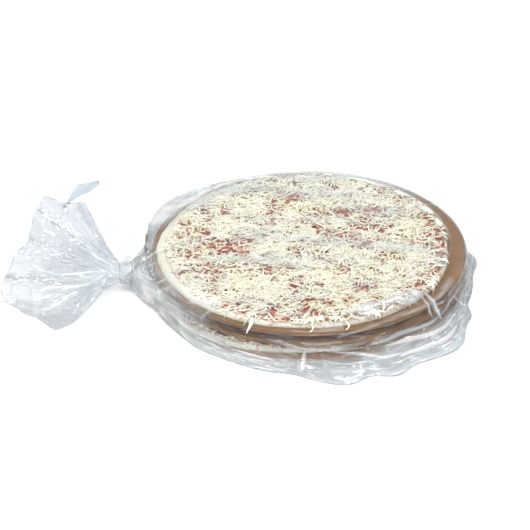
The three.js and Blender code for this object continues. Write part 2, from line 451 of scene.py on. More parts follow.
def kraft_finish(colours):
    """Brown card with darker fibres and faint blotches."""
    n = Nodes("kraft card")
    fibres = n.noise(1600, detail=3, stretch=(1, 0.25, 1))
    blotches = n.band(n.noise(45, detail=3), 0.35, 0.65)
    card = n.blend(blotches, tinted(colours.kraft, 0.9), tinted(colours.kraft, 1.06))
    card = n.blend(n.band(fibres, 0.45, 0.75, 0, 0.45), card, tinted(colours.kraft, 0.82))
    n.surface(card, 0.82, n.bump(fibres, 0.0001, 0.5))
    return n.material


def dough_finish(colours):
    """Floury dough, a little uneven in colour and surface."""
    n = Nodes("raw dough")
    patches = n.noise(60, detail=4)
    grains = n.noise(900, detail=2)
    dough = n.blend(n.band(patches, 0.35, 0.7), tinted(colours.dough, 0.95), tinted(colours.dough, 1.04))
    dough = n.blend(n.band(grains, 0.6, 0.75, 0, 0.3), dough, tinted(colours.dough, 0.84))
    n.surface(dough, 0.7, n.bump(n.plus(patches, grains), 0.0005, 0.6))
    return n.material


def sauce_finish(colours):
    """Pulpy red sauce, with pale crumbs of cheese in it where the topping is thick. The crumbs are a darker,
    pinker cheese, which paints the shade in the gaps under the shreds.
    """
    n = Nodes("tomato sauce")
    pulp = n.noise(420, detail=4, roughness=0.6)
    pools = n.noise(70, detail=2)
    crumbs = n.noise(640, detail=3, roughness=0.75)
    sauce = n.blend(n.band(pulp, 0.35, 0.65), tinted(colours.sauce, 0.72), tinted(colours.sauce, 1.2))
    sauce = n.blend(n.band(pools, 0.4, 0.7, 0, 0.4), sauce, tinted(colours.sauce, 1.4))
    crumbly = n.maths("SUBTRACT", crumbs, n.times(n.attribute("open"), 0.2))
    # Crumbs show where the topping is thick: their darker cheese paints the shade between the shreds
    sauce = n.blend(n.band(crumbly, 0.38, 0.48), sauce, CRUMB_AND_SHADE_COLOUR)
    n.surface(sauce, 0.42, n.bump(n.plus(pulp, crumbs), 0.001, 0.7))
    return n.material


def cheese_finish(colours):
    """Soft pale cheese: each shred has its own tone, and the lowest are darker and redder, partly sauce
    staining and partly painted shade deep in the tangle.
    """
    n = Nodes("shredded cheese")
    mottle = n.noise(700, detail=2)
    yellow = n.band(n.noise(22, detail=2), 0.48, 0.68, 0, 0.5)
    cheese = n.blend(n.attribute("tone"), tinted(colours.cheese, 0.84), tinted(colours.cheese, 1.05))
    cheese = n.blend(yellow, cheese, CHEESE_YELLOW)
    cheese = n.blend(n.band(mottle, 0.45, 0.75, 0, 0.3), cheese, CHEESE_MOTTLE)
    # The lowest shreds turn darker and redder: sauce staining and painted shade
    cheese = n.blend(n.times(n.attribute("stain"), 0.58), cheese, STAIN_AND_SHADE_COLOUR)
    n.surface(cheese, 0.5, n.bump(mottle, 0.0002, 0.5))
    n.shader.inputs["Subsurface Weight"].default_value = 0.35
    n.shader.inputs["Subsurface Scale"].default_value = 0.002
    n.shader.inputs["Subsurface Radius"].default_value = (1.0, 0.8, 0.5)
    return n.material


def drawn_lines_and_highlights(n):
    """Fine lines pulled into the film: down its wall by "streak" and along its lid by "lid". They bump the
    film and are painted whiter, as painted highlights.
    """
    parts = n.add("ShaderNodeSeparateXYZ")
    n.link(n.coords, parts.inputs[0])
    turn = n.maths("ARCTAN2", parts.outputs["Y"], parts.outputs["X"])
    unrolled = n.add("ShaderNodeCombineXYZ")
    n.link(n.times(turn, 0.02), unrolled.inputs["X"])
    n.link(parts.outputs["Z"], unrolled.inputs["Y"])
    streaks = n.noise(520, detail=3, roughness=0.6, vector=unrolled.outputs[0])
    lines = n.noise(300, detail=3, roughness=0.6, stretch=(0.12, 1, 1))
    return n.plus(
        n.times(n.attribute("streak"), n.band(streaks, 0.55, 0.66)),
        n.times(n.attribute("lid"), n.band(lines, 0.55, 0.7)))


def film_finish(colours, kind):
    """Thin clear plastic: it tints a little, shines like glass, and is milky in its folds. Its milkiest
    parts are painted white, as painted highlights.
    """
    shine_share, clear_tint, fold_tint, painted_highlight_from = FILM_KINDS[kind]
    n = Nodes(kind)
    n.tree.nodes.remove(n.shader)
    fold = n.attribute("fold")
    wisps = n.noise(55, detail=4, roughness=0.6)
    small = n.noise(420, detail=3, stretch=(0.35, 1, 1))
    drawn = drawn_lines_and_highlights(n)
    normal = n.bump(n.plus(wisps, n.times(small, 0.3), drawn), 0.0006, 0.5)
    grazing = n.add("ShaderNodeLayerWeight")
    grazing.inputs["Blend"].default_value = 0.35
    grazing = grazing.outputs["Facing"]

    # The drawn lines also thicken the milk: highlights painted along them
    dense = n.plus(n.times(fold, 0.9), n.band(wisps, 0.45, 0.75, 0, 0.045), n.times(drawn, 0.5))
    # The "thick" value darkens the film: bunched film by the neck on the body, painted shade on the loose
    # end
    thickness = n.plus(dense, n.band(grazing, 0.5, 1.0), n.attribute("thick"))
    tint_and_shade = n.blend(n.band(grazing, 0.8, 1.0), n.blend(thickness, clear_tint, fold_tint), EDGE_TINT)
    clear = n.coat("ShaderNodeBsdfTransparent", tint_and_shade)
    # Where the milk is thickest it is painted white: a painted highlight
    white = n.blend(n.band(fold, painted_highlight_from, 1.0), colours.film, PAINTED_HIGHLIGHT_WHITE)
    milk = n.mixed(0.3, n.coat("ShaderNodeBsdfDiffuse", white), n.coat("ShaderNodeBsdfTranslucent", white))
    milky = n.mixed(n.plus(n.times(dense, 0.7), 0.008), clear, milk)

    gloss = n.coat("ShaderNodeBsdfAnisotropic", (1, 1, 1))
    gloss.inputs["Roughness"].default_value = 0.09
    n.link(normal, gloss.inputs["Normal"])
    fresnel = n.add("ShaderNodeFresnel")
    fresnel.inputs["IOR"].default_value = 1.5
    n.link(normal, fresnel.inputs["Normal"])
    shine = n.maths("MINIMUM", n.times(fresnel.outputs[0], shine_share), 0.7)
    n.link(n.mixed(shine, milky, gloss).outputs[0], n.output.inputs["Surface"])
    return n.material


def tape_finish():
    """Thin milky tape with a slight pull in it."""
    n = Nodes("neck tape")
    pull = n.noise(500, detail=3, stretch=(1, 1, 0.25))
    n.surface(n.blend(n.band(pull, 0.35, 0.7), *TAPE_TONES), 0.32, n.bump(pull, 0.0006, 0.6))
    n.shader.inputs["Alpha"].default_value = 0.3
    return n.material


# ---------------------------------------------------------------- boards


def layer_floor(sizes, layer):
    """Height of the underside of a layer's board."""
    even = LAYERS.index(layer) * (sizes.board_thickness + sizes.crust_thickness + sizes.cheese_depth)
    return even + LAYER_LIFTS[layer] * MM


def round_places(out, angles, heights, shift):
    """Places of round rings about a middle that is shifted by so many mm."""
    x, y = shift
    return np.stack([out * np.cos(angles) + x * MM, out * np.sin(angles) + y * MM, heights], axis=-1)


def round_angles(steps):
    """Angles evenly round a circle."""
    return np.arange(steps) / steps * 2 * math.pi


# The card of a board, in mm: its liners, how deep its core lies open between the waves, how ragged its
# cut is, the rounding of its edge, and how far the lowest board lies off the table
LINER = 0.45
CORE_DEPTH = 1.1
CUT_RAGGED = 0.25
EDGE_ROUNDING = 0.15
EDGE_STEP = 0.02
BOARD_REST = 0.4


def make_board(sizes, colours, layer):
    """A disc of corrugated card. Its cut edge shows the waves of its core between two liners."""
    angles = round_angles(900)
    radius = sizes.board_diameter / 2
    thick = sizes.board_thickness
    liner, step = LINER * MM, EDGE_STEP * MM
    core_rows = np.linspace(liner, thick - liner, 11)
    levels = np.concatenate([
        [0, 0, step, liner - step], core_rows, [thick - liner + step, thick - step, thick, thick]])
    inset = np.zeros(len(levels))
    inset[[0, -1]] = radius - 2 * MM
    inset[[1, -2]] = EDGE_ROUNDING * MM
    inset = inset[:, None]
    heights = np.repeat(levels[:, None], len(angles), axis=1)
    across = radius * np.sin(angles)
    wave = thick / 2 + (thick / 2 - liner) * np.sin(2 * math.pi * across / sizes.flute_pitch)
    core = (heights > liner - 1e-6) & (heights < thick - liner + 1e-6)
    hollow = ease(np.abs(heights - wave), 0.2 * MM, 0.5 * MM) * core
    ragged = CUT_RAGGED * MM * soft_noise(angles * 90, heights * 900) * (inset < 1 * MM)
    out = radius - inset - CORE_DEPTH * MM * hollow - ragged
    heights = heights + layer_floor(sizes, layer) + BOARD_REST * MM * (layer == "bottom")
    bm = tube(round_places(out, angles, heights, BOARD_SHIFTS[layer]))
    return add_piece(finished(f"board_{layer}", bm, kraft_finish(colours)))


# ---------------------------------------------------------------- pizzas

# Section of the dough from its middle underneath, round its edge and over it, in shares of the radius
# and the thickness. From there it runs in evenly to the middle.
CRUST_SECTION = (
    (0.02, 0), (0.6, 0), (0.97, 0), (0.99, 0), (0.9975, 0.14), (1.0, 0.36), (0.999, 0.6),
    (0.9935, 0.82), (0.988, 0.93), (0.978, 0.98), (0.96, 1.0), (0.93, 0.98),
)
CRUST_FACE = 0.97


def crust_edge(sizes, layer, angles):
    """Radius of a pizza's uneven outline by the angle."""
    seed = 10 * LAYERS.index(layer)
    turn = soft_noise(2.2 * np.cos(angles) + seed, 2.2 * np.sin(angles))
    fine = soft_noise(14 * np.cos(angles) + seed, 14 * np.sin(angles))
    return sizes.pizza_diameter / 2 + 3.4 * MM * (turn - 0.5) + 1.1 * MM * (fine - 0.5)


def pizza_floor(sizes, layer):
    """Height of the underside of a layer's dough."""
    return layer_floor(sizes, layer) + sizes.board_thickness


def make_crust(sizes, colours, layer):
    """A thin round of raw dough with a soft rounded edge."""
    angles = round_angles(480)
    face = [(0.88 - 0.04 * k, CRUST_FACE) for k in range(21)] + [(0.02, CRUST_FACE)]
    share, height = (np.array(v)[:, None] for v in zip(*CRUST_SECTION, *face))
    out = share * crust_edge(sizes, layer, angles)
    x = out * np.cos(angles)
    y = out * np.sin(angles)
    lumps = layered_noise(x / (14 * MM), y / (14 * MM), LAYERS.index(layer)) - 0.5
    z = height * sizes.crust_thickness + 1.3 * MM * lumps * ease(height, 0.3, 0.9)
    bm = tube(round_places(out, angles, z + pizza_floor(sizes, layer), PIZZA_SHIFTS[layer]))
    return add_piece(finished(f"crust_{layer}", bm, dough_finish(colours)))


# Bare rim of the top pizza's dough: angle in degrees and width in mm
BARE_RIM = (
    (0, -0.5), (60, -0.5), (100, 1), (135, 5), (165, 9), (198, 9), (220, 5), (240, 1.5), (262, 0), (300, 0),
    (330, -0.5), (360, -0.5),
)


def bare_rim(layer, angles):
    """Width of the dough that the topping leaves bare by the angle."""
    degrees = np.degrees(angles) % 360
    return eased_along(BARE_RIM, degrees) * MM if layer == "top" else 1.5 * MM


def sauce_reach(sizes, layer, angles):
    """How far the sauce spreads over the dough by the angle."""
    ragged = 3 * MM * layered_noise(9 * np.cos(angles), 9 * np.sin(angles), 5)
    return crust_edge(sizes, layer, angles) - 1.6 * MM - bare_rim(layer, angles) - ragged


def cheese_reach(sizes, layer, angles):
    """How far the cheese spreads by the angle."""
    ragged = 3 * MM * (layered_noise(12 * np.cos(angles), 12 * np.sin(angles), 8) - 0.5)
    return crust_edge(sizes, layer, angles) - bare_rim(layer, angles) + ragged


def make_sauce(sizes, colours, layer):
    """A thin uneven spread of tomato sauce on the dough."""
    angles = round_angles(420)
    inward = np.arange(0.97, 0.02, -0.014)
    share = np.concatenate([[0.02, 0.6, 0.97, 1.0, 0.995, 0.985], inward])[:, None]
    depth = np.concatenate([[0, 0, 0, 0.25, 0.7, 0.95], np.ones(len(inward))])[:, None]
    out = share * sauce_reach(sizes, layer, angles)
    pulp = layered_noise(out * np.cos(angles) / (5 * MM), out * np.sin(angles) / (5 * MM), 3)
    face = sizes.crust_thickness * CRUST_FACE + (0.5 + 1.0 * pulp) * MM
    low = sizes.crust_thickness * 0.85
    z = np.where(depth > 0, low + (face - low) * depth, sizes.crust_thickness * 0.8)
    places = round_places(out, angles, z + pizza_floor(sizes, layer), PIZZA_SHIFTS[layer])
    bm = tube(places, open=1 - cheese_cover(places[..., 0], places[..., 1], layer))
    return add_piece(finished(f"sauce_{layer}", bm, sauce_finish(colours)))


# ---------------------------------------------------------------- cheese

# How much the shreds bow and lean, in mm, and the steps along each one's curled line
SHRED_BOW = 0.75
SHRED_LEAN = 1.4
SPINE_STEPS = 32

# Shreds that have slipped over the front rim: bearing, start and how far they hang, in mm
HANGING = ((247.6, 145.5, 9.0), (248.3, 144.8, 5.0), (270.6, 145.0, 0.5), (283.5, 145.5, 0.0))


def cheese_cover(x, y, layer):
    """Chance from 0 to 1 that a shred lies here, by the place on the board in metres."""
    drifts = layered_noise(x / (9 * MM) + 3, y / (5 * MM), LAYERS.index(layer) + 2)
    cover = 1 - 0.88 * ease(drifts, 0.47, 0.57)
    if layer == "top":
        flecks = 0.65 + 0.35 * ease(layered_noise(x / (6 * MM), y / (3.5 * MM), 9), 0.42, 0.58)
        for spot_x, spot_y, radius in THIN_SPOTS:
            away = np.hypot(x - spot_x * MM, 1.2 * (y - spot_y * MM)) / (1.6 * radius * MM)
            cover = cover * (1 - 0.96 * np.exp(-(away**2)) * flecks)
    return cover.clip(0.05, 1)


def scatter(count, inner, outer, cover, rng):
    """Places on a ring, thinned out by cover(x, y)."""
    found = np.zeros((0, 2))
    while len(found) < count:
        turn = rng.random(count) * 2 * math.pi
        out = np.sqrt(rng.uniform(inner**2, 1.0, count)) * outer(turn)
        spots = np.stack([out * np.cos(turn), out * np.sin(turn)], axis=-1)
        kept = rng.random(count) < cover(spots[:, 0], spots[:, 1])
        found = np.concatenate([found, spots[kept]])
    return found[:count]


def row_of_strips(count, joints):
    """Plain strips side by side, 2 apart along X: each runs from -0.5 to 0.5 and is 2 wide and thick."""
    bm = bmesh.new()
    bmesh.ops.create_cube(bm, size=1)
    bmesh.ops.scale(bm, vec=(1, 2, 2), verts=bm.verts)
    lengthwise = [e for e in bm.edges if abs(e.verts[0].co.x - e.verts[1].co.x) > 0.5]
    bmesh.ops.subdivide_edges(bm, edges=lengthwise, cuts=joints - 2, use_grid_fill=False)
    made = 1
    while made < count:
        wanted = min(made, count - made)
        chosen = [f for f in bm.faces if f.calc_center_median().x < 2 * wanted - 1]
        copies = bmesh.ops.duplicate(bm, geom=chosen)["geom"]
        moved = [v for v in copies if isinstance(v, bmesh.types.BMVert)]
        bmesh.ops.translate(bm, vec=(2 * made, 0, 0), verts=moved)
        made += wanted
    return bm


def read_strips(piece):
    """Which strip each point of a row of strips is on, and its place along, across and up its strip."""
    flat = np.zeros(len(piece.data.vertices) * 3, dtype=np.float32)
    piece.data.attributes["position"].data.foreach_get("vector", flat)
    x, across, up = flat.reshape(-1, 3).T.astype(float)
    which = np.rint(x / 2).astype(np.int64)
    return which, x - 2 * which, across, up


def bend_strips(piece, places, **layers):
    """Moves the points of a row of strips to their places, and keeps values on them."""
    mesh = piece.data
    mesh.attributes["position"].data.foreach_set("vector", places.astype(np.float32).ravel())
    for name, values in layers.items():
        mesh.attributes.new(name, "FLOAT", "POINT").data.foreach_set("value", values.astype(np.float32))
    mesh.update()
    return add_piece(piece)


def curled_lines(starts, lengths, rng):
    """Curled lines about their starts: x, y and heading at SPINE_STEPS + 1 places along each."""
    count = len(starts)
    steps = np.linspace(-0.5, 0.5, SPINE_STEPS + 1)[None, :]
    turn = rng.random(count)[:, None] * 2 * math.pi + rng.normal(0, 1.3, count)[:, None] * steps
    turn = turn + rng.normal(0, 2.2, count)[:, None] * (steps**2 - 0.08)
    stride = lengths[:, None] / SPINE_STEPS
    x = np.cumsum(np.cos(turn), axis=1) * stride
    y = np.cumsum(np.sin(turn), axis=1) * stride
    x += starts[:, :1] - x.mean(axis=1, keepdims=True)
    y += starts[:, 1:] - y.mean(axis=1, keepdims=True)
    return x, y, turn


def shred_piece(name, starts, heights, lengths, width, joints, material, rng, settle):
    """Bends a row of strips into shreds that lie at their starts, as one piece."""
    count = len(starts)
    piece = finished(name, row_of_strips(count, joints), material, outward=False)
    which, along, a, b = read_strips(piece)
    line_x, line_y, turn = curled_lines(starts, lengths, rng)
    at = np.rint((along + 0.5) * SPINE_STEPS).astype(np.int64)
    bow = rng.normal(0, SHRED_BOW, count)[which] * MM
    lean = rng.normal(0, SHRED_LEAN, count)[which] * MM
    height = heights[which] + (bow * (1 - 6 * along**2) + lean * along)
    # How low a shred lies: the lowest are painted darker and redder, sauce staining and painted shade
    sunk = ease(height, np.quantile(heights, 0.55), heights.min())
    middle = settle(np.stack([line_x[which, at], line_y[which, at], height], axis=-1))
    heading = turn[which, at]
    roll = rng.normal(0, 0.5, count)[which] + rng.normal(0, 1.2, count)[which] * along
    taper = 1 - 0.5 * np.abs(2 * along) ** 5
    half = width / 2 * rng.uniform(0.7, 1.2, count)[which] * taper
    thick = half * rng.uniform(0.55, 0.85, count)[which]
    sideways = a * half * np.cos(roll) - b * thick * np.sin(roll)
    up = a * half * np.sin(roll) + b * thick * np.cos(roll)
    places = middle + np.stack([-np.sin(heading) * sideways, np.cos(heading) * sideways, up], axis=-1)
    return bend_strips(piece, places, tone=rng.random(count)[which], stain=sunk)


def make_hanging_shreds(sizes, colours):
    """Shreds that hang over the rim of the top board, inside the film."""
    strips = row_of_strips(len(HANGING), 12)
    piece = finished("cheese_hanging", strips, cheese_finish(colours), outward=False)
    which, along, a, b = read_strips(piece)
    share = along + 0.5
    bearing, start, drop = (np.array(v)[which] for v in zip(*HANGING))
    turn = np.radians(bearing) + 0.012 * np.sin(4 * share)
    half = sizes.shred_width / MM * 0.5 * (1 - 0.4 * np.abs(2 * share - 1) ** 5)
    steep = np.arctan(2.2 * share)
    out = start + 8.5 * np.sin(np.clip(share * 2, 0, 1) * math.pi / 2) + b * half * 0.7 * np.sin(steep)
    height = STACK_TOP - 3.4 - (5.2 + drop) * share**1.6 + b * half * 0.7 * np.cos(steep)
    side = a * half
    x = out * np.cos(turn) - side * np.sin(turn)
    y = out * np.sin(turn) + side * np.cos(turn)
    return bend_strips(piece, np.stack([x, y, height], axis=-1) * MM, tone=np.full(len(along), 0.8))


def make_cheese(sizes, colours, layer):
    """Shreds and short bits of pale cheese in a tangle. Under another board only the rim is covered."""
    rng = np.random.default_rng(100 + LAYERS.index(layer))
    shift = np.array(PIZZA_SHIFTS[layer]) * MM
    share, inner = (1, 0) if layer == "top" else (0.3, 0.72)
    base = pizza_floor(sizes, layer) + sizes.crust_thickness
    ceiling = base + sizes.cheese_depth + CHEESE_ROOM[layer] * MM

    def reach(turn):
        return cheese_reach(sizes, layer, turn)

    def shred_cover(x, y):
        return cheese_cover(x + shift[0], y + shift[1], layer)

    def bit_cover(x, y):
        return shred_cover(x, y) ** 0.72

    def settle(middle):
        """Keeps shreds between the dough and the film, and lets those past the edge of the topping drop."""
        from_centre = middle[:, :2] - shift
        out = np.linalg.norm(from_centre, axis=1)
        edge = reach(np.arctan2(from_centre[:, 1], from_centre[:, 0])) + 1.5 * MM
        over = np.clip(out - edge, 0, None)
        middle[:, :2] = shift + from_centre * ((out - 0.72 * over) / out)[:, None]
        near = np.clip(out - edge + 10 * MM, 0, None)
        past = np.clip(out - edge + 2.5 * MM, 0, None)
        low = np.clip(middle[:, 2], base + 0.6 * MM, ceiling)
        middle[:, 2] = base + (low - base) * (1 - 0.3 * ease(near, 0, 10 * MM)) - past * 0.75
        return middle

    # Each kind: its name, where it lies, how many, longest, width, joints, and height off the dough in mm
    kinds = (
        ("shreds", shred_cover, sizes.top_shreds, sizes.shred_length, sizes.shred_width, 6, 0.9),
        ("bits", bit_cover, sizes.top_bits, 0.5 * sizes.shred_length, 0.95 * sizes.shred_width, 4, 0.2),
    )
    finish = cheese_finish(colours)
    for kind, cover, number, longest, width, joints, lift in kinds:
        count = int(number * share)
        starts = scatter(count, inner, reach, cover, rng) + shift
        lengths = longest * (0.25 + 0.75 * rng.beta(2.0, 2.4, count))
        heights = base + lift * MM + rng.uniform(0.2 * MM, ceiling - base - lift * MM, count)
        shred_piece(f"cheese_{kind}_{layer}", starts, heights, lengths, width, joints, finish, rng, settle)


# ---------------------------------------------------------------- film

# Folds that stand out on the film: from bearing and level to bearing and level, then half width and height
# in mm, and milkiness, a white highlight painted along the crest. Level 1 is the rim of the pizza, 2 the rim
# of its board, 3 the hem.
FILM_FOLDS = (
    (220, 1.7, 236, 1.1, 3.0, 0.8, 0.6), (228, 1.2, 221, 1.8, 1.6, 1.2, 0.8),
    (232, 1.4, 227, 2.2, 1.5, 1.2, 0.7), (186.5, 0.93, 186.3, 1.95, 1.8, 0.8, 1.0),
    (202.5, 2.0, 206.5, 1.1, 1.2, 0.7, 0.8), (194, 1.3, 190, 2.1, 1.2, 0.9, 0.5),
    (211, 1.5, 203, 2.2, 1.4, 0.8, 0.6), (286, 0.96, 302, 0.97, 8.0, 1.0, 1.15),
    (302, 0.97, 319, 1.0, 8.0, 1.0, 1.15), (321, 1.3, 321.5, 2.3, 3.2, 1.4, 1.1),
    (318.3, 1.2, 318, 2.2, 1.5, 1.0, 1.1), (291, 2.3, 322, 2.25, 1.6, 0.9, 0.9),
    (322, 2.25, 346, 2.2, 1.4, 0.9, 0.8), (268, 2.3, 267.3, 2.78, 2.1, 1.5, 1.15),
    (281, 2.75, 281, 2.95, 1.5, 1.5, 0.8), (286, 2.6, 285, 2.9, 1.4, 1.2, 0.7),
    (300, 1.85, 337, 1.9, 1.3, 0.6, 0.7), (255, 2.15, 290, 2.35, 1.2, 0.8, 0.6),
    (276, 2.3, 300, 2.62, 1.4, 1.0, 0.7), (270, 2.42, 290, 2.62, 1.0, 0.8, 0.6),
    (280, 2.1, 300, 1.95, 1.2, 0.8, 0.6), (296, 2.4, 330, 2.5, 1.8, 1.1, 0.8),
    (300, 2.65, 326, 2.7, 2.2, 1.1, 0.8), (330, 2.1, 341, 2.8, 1.6, 1.2, 0.6),
    (350, 2.0, 356, 2.8, 1.6, 1.0, 0.6), (228, 2.5, 258, 2.62, 1.6, 1.0, 0.7),
    (214, 2.5, 240, 2.55, 1.6, 1.0, 0.6),
)

# A degree round the film and its levels 0 to 3, laid out flat in mm
FLAT_DEGREE = 2.68
FLAT_LEVELS = (0, 142, 154, 198)

# How many more folds lie at random places on the wall and the skirt
STRAY_FOLDS = 90

# Milky veils where the film lies slack on the cheese, partly a painted reflection of light off it: place,
# half length and width in mm, lean in degrees, and milkiness
VEILS = (
    (-55, -33, 46, 6, 3, 0.58), (-50, 18, 22, 8, -4, 0.51), (-115, -2, 16, 7, 0, 0.44),
    (-15, 5, 60, 9, -3, 0.44), (-25, -45, 30, 5, 4, 0.51), (10, 92, 62, 15, -6, 0.5),
    (-60, 100, 40, 12, 12, 0.61), (55, 60, 46, 9, -8, 0.48), (60, -8, 60, 9, -7, 0.58),
    (20, 42, 30, 8, -2, 0.37), (0, 122, 60, 10, 0, 0.45), (-105, 80, 20, 14, 45, 0.61),
)


def stray_folds(count, rng):
    """More folds at random places on the wall and the skirt, as FILM_FOLDS gives them, each with a white
    highlight painted along its crest.
    """
    bearing = rng.uniform(0, 360, count)
    level = rng.uniform(1.9, 2.85, count)
    lean = rng.uniform(5, 17, count)
    drop = rng.normal(0.03, 0.1, count)
    width = rng.uniform(0.7, 1.3, count)
    height = rng.uniform(0.4, 1.0, count)
    # Milkiness of these folds: a highlight painted along each crest
    milk = rng.uniform(0.2, 0.6, count)
    return list(zip(bearing, level, bearing + lean, level + drop, width, height, milk))


def creased(along, up, folds):
    """Height in mm and milkiness that straight folds add at places on a sheet, all in mm. The milkiness is a
    white highlight painted along each crest.
    """
    bent = along + 4 * (soft_noise(along / 60, up / 20, 21) - 0.5)
    up = up + 6 * (soft_noise(along / 45, up / 40, 22) - 0.5)
    along = bent
    height, milk = np.zeros(up.shape), np.zeros(up.shape)
    for from_along, from_up, to_along, to_up, width, rise, white in folds:
        start = np.array([from_along, from_up])
        line = np.array([to_along, to_up]) - start
        share = np.clip(((along - start[0]) * line[0] + (up - start[1]) * line[1]) / (line @ line), 0, 1)
        away = np.hypot(along - start[0] - share * line[0], up - start[1] - share * line[1])
        taper = np.clip(1.2 * np.sin(np.pi * (0.12 + 0.76 * share)), 0, 1)
        crest = np.clip(1 - away / (width * taper), 0, 1)
        height = np.maximum(height, rise * taper * crest)
        milk = np.maximum(milk, white * np.sqrt(crest * taper.clip(0, 1)))
    return height, milk


def laid_flat(bearing, level):
    """A bearing and a level of the film as places along and up a flat sheet, in mm."""
    return FLAT_DEGREE * bearing, np.interp(level, range(len(FLAT_LEVELS)), FLAT_LEVELS)


def folded(degrees, level, folds):
    """Height and milkiness of folds given by bearing and level, as FILM_FOLDS gives them; the milkiness is a
    painted highlight.
    """
    flat = [(*laid_flat(a, b), *laid_flat(c, d), *rest) for a, b, c, d, *rest in folds]
    along, up = laid_flat(*np.broadcast_arrays(degrees, level))
    return creased(along, up, flat)


def film_angles(count):
    """Angles round the stack in degrees, closer together towards the neck."""
    fine = np.linspace(0, 360, 7201)
    towards = math.degrees(math.atan2(NECK[1], NECK[0])) % 360
    share = 1 + 3.0 * np.exp(-(((fine - towards) / 10) ** 2)) + 0.5 * ease(fine, 225, 255)
    total = np.concatenate([[0], np.cumsum((share[1:] + share[:-1]) / 2)])
    return np.interp(np.arange(count) / count, total / total[-1], fine)


def pizza_rim(degrees):
    """Distance in mm from the axis to the edge of the top pizza."""
    turn = np.radians(degrees)
    x, y = PIZZA_SHIFTS["top"]
    along = x * np.cos(turn) + y * np.sin(turn)
    return along + np.sqrt(PIZZA_EDGE**2 - x * x - y * y + along**2)


def gather_section(x):
    """Half width, middle, underside and top in mm of the film that opens from the neck, by its x."""
    start = NECK[0] + NECK_HALF - 0.5
    share = np.clip((x - start) / (NECK[0] + GATHER_LENGTH - start), 0, 1)
    opened = share**0.9
    half = NECK_RADIUS + GATHER_SPREAD * opened
    middle = NECK[1] * (1 - ease(x, start, start + 45))
    low = (NECK[2] - NECK_RADIUS) * (1 - np.clip(opened * 5, 0, 1))
    high = NECK[2] + NECK_RADIUS + (BOARD_TOP + 1 - NECK[2] - NECK_RADIUS) * np.clip(opened * 2.4, 0, 1)
    return half, middle, low, high


def gather_height(x, y, side):
    """Height of the film that opens from the neck: side 1 for its top and -1 for its underside."""
    half, middle, low, high = gather_section(x)
    across = np.clip(np.abs(y - middle) / half, 0, 1)
    return (low + high) / 2 + side * (high - low) / 2 * (1 - across**2.4) ** (1 / 2.4)


def film_reach(degrees):
    """Distances in mm from the axis to the film's outline, which takes in the neck, and to its hem."""
    hem = BOARD_EDGE + FILM_SLACK + eased_along(SKIRT_REACH, degrees)
    x = np.linspace(NECK[0] + NECK_HALF - 0.5, NECK[0] + GATHER_LENGTH, 60)
    half, middle, _, _ = gather_section(x)
    end = NECK[0] - NECK_HALF
    far, near = (np.stack([x, middle + side * half], axis=-1) for side in (1, -1))
    tip = np.array([[end, NECK[1] + NECK_RADIUS], [end, NECK[1] - NECK_RADIUS]])
    path_x, path_y = np.concatenate([far[::-1], tip, near]).T
    turns = np.degrees(np.arctan2(path_y, path_x)) % 360
    web = np.interp(degrees, turns, np.hypot(path_x, path_y), left=0, right=0)
    flat_end = (degrees > turns[len(x) - 1]) & (degrees < turns[len(x) + 2])
    web = np.where(flat_end, np.abs(end / np.cos(np.radians(degrees))), web)
    return np.maximum(hem, web), hem


def from_neck(x, y):
    """Distance in mm from the tie and the bearing round it, over the film."""
    return np.hypot(x - NECK[0], y - NECK[1]), np.arctan2(y - NECK[1], x - NECK[0])


def in_tie(x, y):
    """Whether the film's outline runs into the tie here, and how far it stands off the tie's middle."""
    across = np.clip(np.abs(y - NECK[1]) / NECK_RADIUS, 0, 1)
    return x < NECK[0] + NECK_HALF, NECK_RADIUS * np.sqrt(1 - across**2)


def upright_wall(degrees):
    """1 where the film's wall stands straight at the back, and 0 elsewhere."""
    return ease(degrees, 105, 130) * (1 - ease(degrees, 163, 175))


def lid_rings(rim):
    """Radius and height of the film's rings on the cheese."""
    inner = np.linspace(0.03, 1, 58)[:, None] * (rim - 2.5)
    return inner, STACK_TOP + 1.2 - 2.2 * np.clip((inner - rim + 10.5) / 8, 0, 1) ** 1.3


def shoulder_rings(rim, edge):
    """Rings from the rim of the pizza down to the rim of its board."""
    ledge = edge - rim
    rings = (
        (rim + 0.2, STACK_TOP - 1.8), (rim + 2.0, STACK_TOP - 2.9), (rim + 3.0, STACK_TOP - 4.2),
        (rim + 0.3 * ledge + 2.2, STACK_TOP - 5.8), (rim + 0.6 * ledge + 1.2, STACK_TOP - 7.6),
        (edge - 0.6, BOARD_TOP + 1.6), (edge + 0.3, BOARD_TOP + 0.9),
    )
    radius = np.concatenate([ring for ring, _ in rings])
    return radius, np.array([[height] for _, height in rings]) + 0 * radius


def wall_rings(degrees, edge, outline, hem):
    """Rings from the rim of the board down to the film's outline, on the table or at the tie."""
    steps = (np.linspace(0, 1, 62)[1:] ** 1.25)[:, None]
    out = edge + (outline - edge) * steps
    spread = np.clip((out - edge) / (hem - edge).clip(1.5), 0, 1.6)
    spread = spread + (steps - spread) * upright_wall(degrees)
    fall = eased_along(SKIRT_FALL, spread)
    x, y = out * np.cos(np.radians(degrees)), out * np.sin(np.radians(degrees))
    near = ease(x, NECK[0] + GATHER_LENGTH, NECK[0] + GATHER_LENGTH - 22)
    wall = fall + near * np.clip(gather_height(x, y, 1) - fall, 0, None)
    tied, lift = in_tie(x[-1], y[-1])
    wall[-1] = np.where(tied, NECK[2] + lift, np.minimum(wall[-1], 1.4 + 0.45 * wall[-1]))
    return out, wall


def under_rings(degrees, outline, hem_height):
    """Rings from the film's outline in beneath the stack."""
    out = outline * np.concatenate([np.linspace(1, 0.72, 18), [0.5, 0.2, 0.03]])[:, None]
    x, y = out * np.cos(np.radians(degrees)), out * np.sin(np.radians(degrees))
    inward = ease(x, NECK[0] + GATHER_LENGTH * 0.75, NECK[0] + 6)
    under = 0.4 + inward * np.clip(gather_height(x, y, -1) - 0.4, 0, None)
    tied, lift = in_tie(x[0], y[0])
    under[0] = np.where(tied, NECK[2] - lift, np.minimum(hem_height, under[0] + 0.3))
    return out, under


